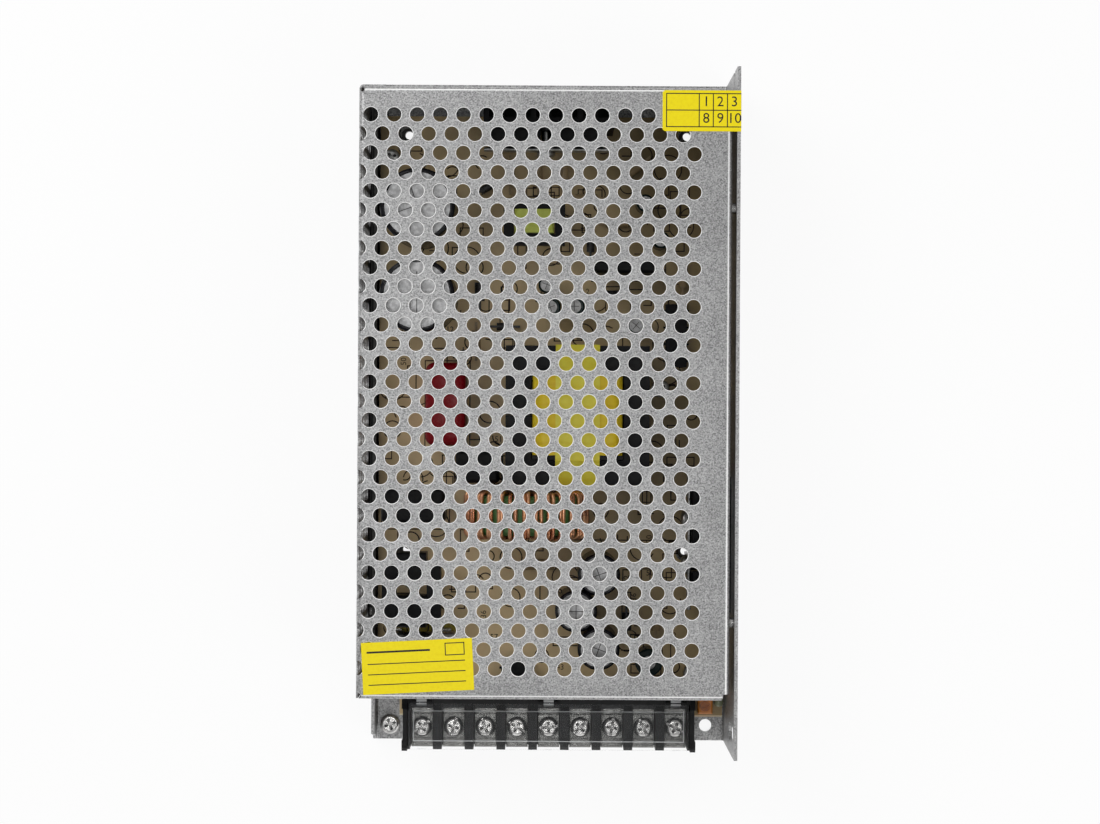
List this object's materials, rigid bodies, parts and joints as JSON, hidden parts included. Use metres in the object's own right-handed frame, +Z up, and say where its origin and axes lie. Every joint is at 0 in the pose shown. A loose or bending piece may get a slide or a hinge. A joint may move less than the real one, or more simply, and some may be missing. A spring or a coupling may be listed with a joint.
{
  "type": "enclosed power supply",
  "caption": "Flat metal enclosed switching power supply: folded chassis, perforated cover, terminal strip under a clear hinged flap.",
  "frame": {"origin": "middle of the underside, on the surface that the case rests on", "axes": "+Z up, +Y from the terminals to the rear, +X to the side with the full height wall"},
  "size_m": [0.11, 0.2012, 0.0501],
  "materials": {
    "zinc_sheet": "spangled zinc",
    "screw_steel": "polished nickel",
    "yellow_label": "gloss sticker",
    "board": "laminate with print",
    "insulator": "thin film",
    "black_moulding": "moulded",
    "plate_metal": "tinned",
    "clear_plastic": "clear",
    "amber_plastic": "moulded",
    "white_plastic": "moulded",
    "lamp_plastic": "tinted",
    "can_sleeve": "printed sleeve",
    "ferrite": "ground",
    "yellow_tape": "wrapped tape",
    "green_coating": "powder",
    "copper_wire": "enamelled",
    "red_coating": "dipped",
    "black_case": "moulded",
    "aluminium_bar": "extruded",
    "black_sink": "anodised",
    "package": "moulded",
    "fuse_glass": "clear",
    "resistor_body": "lacquered",
    "diode_body": "moulded"
  },
  "bodies": {
    "case": {"chassis": "zinc_sheet", "cover": "zinc_sheet", "cover_screws": "screw_steel", "base_screw": "screw_steel", "inner_screws": "screw_steel", "grid_label": "yellow_label", "plain_label": "yellow_label", "insulation_sheet": "insulator", "circuit_board": "board", "board_standoffs": "screw_steel", "terminal_block": "black_moulding", "terminal_plates": "plate_metal", "trimmer_body": "amber_plastic", "indicator_lamp": "lamp_plastic", "bulk_capacitors": "can_sleeve", "main_transformer_core": "ferrite", "main_transformer_bobbin": "black_moulding", "main_transformer_winding": "yellow_tape", "main_transformer_tape": "yellow_tape", "small_transformer_core": "ferrite", "small_transformer_winding": "yellow_tape", "output_choke_core": "green_coating", "output_choke_winding": "copper_wire", "filter_choke_core": "ferrite", "filter_choke_coils": "black_case", "film_capacitor": "red_coating", "filter_capacitor": "black_case", "inrush_relay": "black_case", "bridge_rectifier": "package", "output_capacitors": "can_sleeve", "small_capacitors": "can_sleeve", "rear_heatsink": "black_sink", "primary_transistors": "package", "output_heatsink": "aluminium_bar", "output_rectifiers": "package", "clamp_bars": "plate_metal", "fuse": "fuse_glass", "resistors": "resistor_body", "diodes": "diode_body", "control_chips": "package"},
    "terminal_cover": {"terminal_cover": "clear_plastic"},
    "trimmer_rotor": {"trimmer_rotor": "white_plastic"},
    "clamp_1": {"terminal_clamp_1": "plate_metal"},
    "screw_1": {"terminal_screw_1": "screw_steel"},
    "clamp_2": {"terminal_clamp_2": "plate_metal"},
    "screw_2": {"terminal_screw_2": "screw_steel"},
    "clamp_3": {"terminal_clamp_3": "plate_metal"},
    "screw_3": {"terminal_screw_3": "screw_steel"},
    "clamp_4": {"terminal_clamp_4": "plate_metal"},
    "screw_4": {"terminal_screw_4": "screw_steel"},
    "clamp_5": {"terminal_clamp_5": "plate_metal"},
    "screw_5": {"terminal_screw_5": "screw_steel"},
    "clamp_6": {"terminal_clamp_6": "plate_metal"},
    "screw_6": {"terminal_screw_6": "screw_steel"},
    "clamp_7": {"terminal_clamp_7": "plate_metal"},
    "screw_7": {"terminal_screw_7": "screw_steel"},
    "clamp_8": {"terminal_clamp_8": "plate_metal"},
    "screw_8": {"terminal_screw_8": "screw_steel"},
    "clamp_9": {"terminal_clamp_9": "plate_metal"},
    "screw_9": {"terminal_screw_9": "screw_steel"}
  },
  "joints": [
    {"name": "terminal_cover_hinge", "type": "hinge", "parent": "case", "child": "terminal_cover", "pos_m": [0.0006, -0.0862, 0.0194], "axis": [-1, 0, 0], "range_deg": [0, 90]},
    {"name": "trimmer_turn", "type": "hinge", "parent": "case", "child": "trimmer_rotor", "pos_m": [0.0478, -0.0876, 0.013], "axis": [0, 0, 1], "range_deg": [-115, 115]},
    {"name": "clamp_1_lift", "type": "slide", "parent": "case", "child": "clamp_1", "axis": [0, 0, 1], "range_m": [0, 0.0025]},
    {"name": "screw_1_turn", "type": "hinge", "parent": "clamp_1", "child": "screw_1", "pos_m": [-0.0374, -0.0939, 0.015], "axis": [0, 0, 1], "range_deg": [0, 1560]},
    {"name": "clamp_2_lift", "type": "slide", "parent": "case", "child": "clamp_2", "axis": [0, 0, 1], "range_m": [0, 0.0025]},
    {"name": "screw_2_turn", "type": "hinge", "parent": "clamp_2", "child": "screw_2", "pos_m": [-0.0279, -0.0939, 0.015], "axis": [0, 0, 1], "range_deg": [0, 1560]},
    {"name": "clamp_3_lift", "type": "slide", "parent": "case", "child": "clamp_3", "axis": [0, 0, 1], "range_m": [0, 0.0025]},
    {"name": "screw_3_turn", "type": "hinge", "parent": "clamp_3", "child": "screw_3", "pos_m": [-0.0184, -0.0939, 0.015], "axis": [0, 0, 1], "range_deg": [0, 1560]},
    {"name": "clamp_4_lift", "type": "slide", "parent": "case", "child": "clamp_4", "axis": [0, 0, 1], "range_m": [0, 0.0025]},
    {"name": "screw_4_turn", "type": "hinge", "parent": "clamp_4", "child": "screw_4", "pos_m": [-0.0089, -0.0939, 0.015], "axis": [0, 0, 1], "range_deg": [0, 1560]},
    {"name": "clamp_5_lift", "type": "slide", "parent": "case", "child": "clamp_5", "axis": [0, 0, 1], "range_m": [0, 0.0025]},
    {"name": "screw_5_turn", "type": "hinge", "parent": "clamp_5", "child": "screw_5", "pos_m": [0.0006, -0.0939, 0.015], "axis": [0, 0, 1], "range_deg": [0, 1560]},
    {"name": "clamp_6_lift", "type": "slide", "parent": "case", "child": "clamp_6", "axis": [0, 0, 1], "range_m": [0, 0.0025]},
    {"name": "screw_6_turn", "type": "hinge", "parent": "clamp_6", "child": "screw_6", "pos_m": [0.0101, -0.0939, 0.015], "axis": [0, 0, 1], "range_deg": [0, 1560]},
    {"name": "clamp_7_lift", "type": "slide", "parent": "case", "child": "clamp_7", "axis": [0, 0, 1], "range_m": [0, 0.0025]},
    {"name": "screw_7_turn", "type": "hinge", "parent": "clamp_7", "child": "screw_7", "pos_m": [0.0196, -0.0939, 0.015], "axis": [0, 0, 1], "range_deg": [0, 1560]},
    {"name": "clamp_8_lift", "type": "slide", "parent": "case", "child": "clamp_8", "axis": [0, 0, 1], "range_m": [0, 0.0025]},
    {"name": "screw_8_turn", "type": "hinge", "parent": "clamp_8", "child": "screw_8", "pos_m": [0.0291, -0.0939, 0.015], "axis": [0, 0, 1], "range_deg": [0, 1560]},
    {"name": "clamp_9_lift", "type": "slide", "parent": "case", "child": "clamp_9", "axis": [0, 0, 1], "range_m": [0, 0.0025]},
    {"name": "screw_9_turn", "type": "hinge", "parent": "clamp_9", "child": "screw_9", "pos_m": [0.0386, -0.0939, 0.015], "axis": [0, 0, 1], "range_deg": [0, 1560]}
  ],
  "couplings": [
    {"joint": "screw_1_turn", "follows": "clamp_1_lift", "rad_per_m": 10472},
    {"joint": "screw_2_turn", "follows": "clamp_2_lift", "rad_per_m": 10472},
    {"joint": "screw_3_turn", "follows": "clamp_3_lift", "rad_per_m": 10472},
    {"joint": "screw_4_turn", "follows": "clamp_4_lift", "rad_per_m": 10472},
    {"joint": "screw_5_turn", "follows": "clamp_5_lift", "rad_per_m": 10472},
    {"joint": "screw_6_turn", "follows": "clamp_6_lift", "rad_per_m": 10472},
    {"joint": "screw_7_turn", "follows": "clamp_7_lift", "rad_per_m": 10472},
    {"joint": "screw_8_turn", "follows": "clamp_8_lift", "rad_per_m": 10472},
    {"joint": "screw_9_turn", "follows": "clamp_9_lift", "rad_per_m": 10472}
  ]
}
